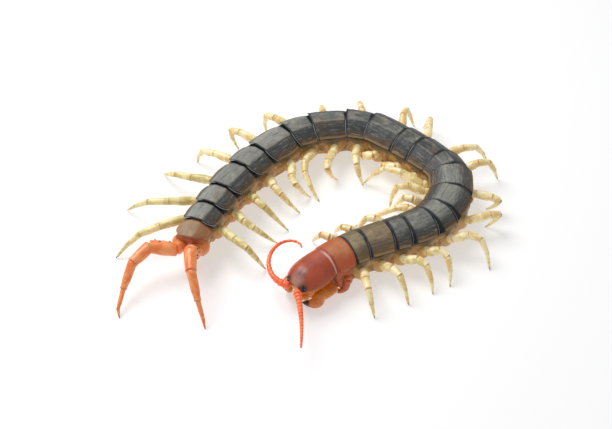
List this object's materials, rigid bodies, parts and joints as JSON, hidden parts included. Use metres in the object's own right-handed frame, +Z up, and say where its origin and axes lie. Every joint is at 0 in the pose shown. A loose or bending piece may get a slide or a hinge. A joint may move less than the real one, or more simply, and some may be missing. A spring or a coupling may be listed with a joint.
{
  "type": "centipede",
  "caption": "Giant centipede standing in a curled walking pose, with overlapping back plates, a flat red head with poison claws, beaded feelers, jointed legs and a long trailing last pair.",
  "frame": {"origin": "centre of the bounding box, on the floor the animal stands on", "axes": "+Z up; the head is at the front, towards -Y; the body runs round by +X and back along +Y to the tail at -X"},
  "size_m": [0.1021, 0.0976, 0.0127],
  "materials": {
    "back_plate": "dark blue-grey glossy shell",
    "head_shell": "brick-red glossy shell",
    "amber_shell": "amber glossy shell",
    "leg_skin": "pale yellow, half translucent shell with amber joints",
    "orange_shell": "coral orange shell",
    "black_shell": "black and glossy"
  },
  "bodies": {
    "root": {"antenna_left": "orange_shell", "antenna_right": "orange_shell", "claw_base": "amber_shell", "eye_left": "black_shell", "eye_right": "black_shell", "head": "head_shell", "last_leg_left": "orange_shell", "last_leg_right": "orange_shell", "leg_left_01": "leg_skin", "leg_left_02": "leg_skin", "leg_left_03": "leg_skin", "leg_left_04": "leg_skin", "leg_left_05": "leg_skin", "leg_left_06": "leg_skin", "leg_left_07": "leg_skin", "leg_left_08": "leg_skin", "leg_left_09": "leg_skin", "leg_left_10": "leg_skin", "leg_left_11": "leg_skin", "leg_left_12": "leg_skin", "leg_left_13": "leg_skin", "leg_left_14": "leg_skin", "leg_left_15": "leg_skin", "leg_left_16": "leg_skin", "leg_left_17": "leg_skin", "leg_left_18": "leg_skin", "leg_left_19": "leg_skin", "leg_left_20": "leg_skin", "leg_right_01": "leg_skin", "leg_right_02": "leg_skin", "leg_right_03": "leg_skin", "leg_right_04": "leg_skin", "leg_right_05": "leg_skin", "leg_right_06": "leg_skin", "leg_right_07": "leg_skin", "leg_right_08": "leg_skin", "leg_right_09": "leg_skin", "leg_right_10": "leg_skin", "leg_right_11": "leg_skin", "leg_right_12": "leg_skin", "leg_right_13": "leg_skin", "leg_right_14": "leg_skin", "leg_right_15": "leg_skin", "leg_right_16": "leg_skin", "leg_right_17": "leg_skin", "leg_right_18": "leg_skin", "leg_right_19": "leg_skin", "leg_right_20": "leg_skin", "poison_claw_left": "amber_shell", "poison_claw_right": "amber_shell", "trunk_01": "back_plate", "trunk_02": "back_plate", "trunk_03": "back_plate", "trunk_04": "back_plate", "trunk_05": "back_plate", "trunk_06": "back_plate", "trunk_07": "back_plate"}
  },
  "joints": []
}
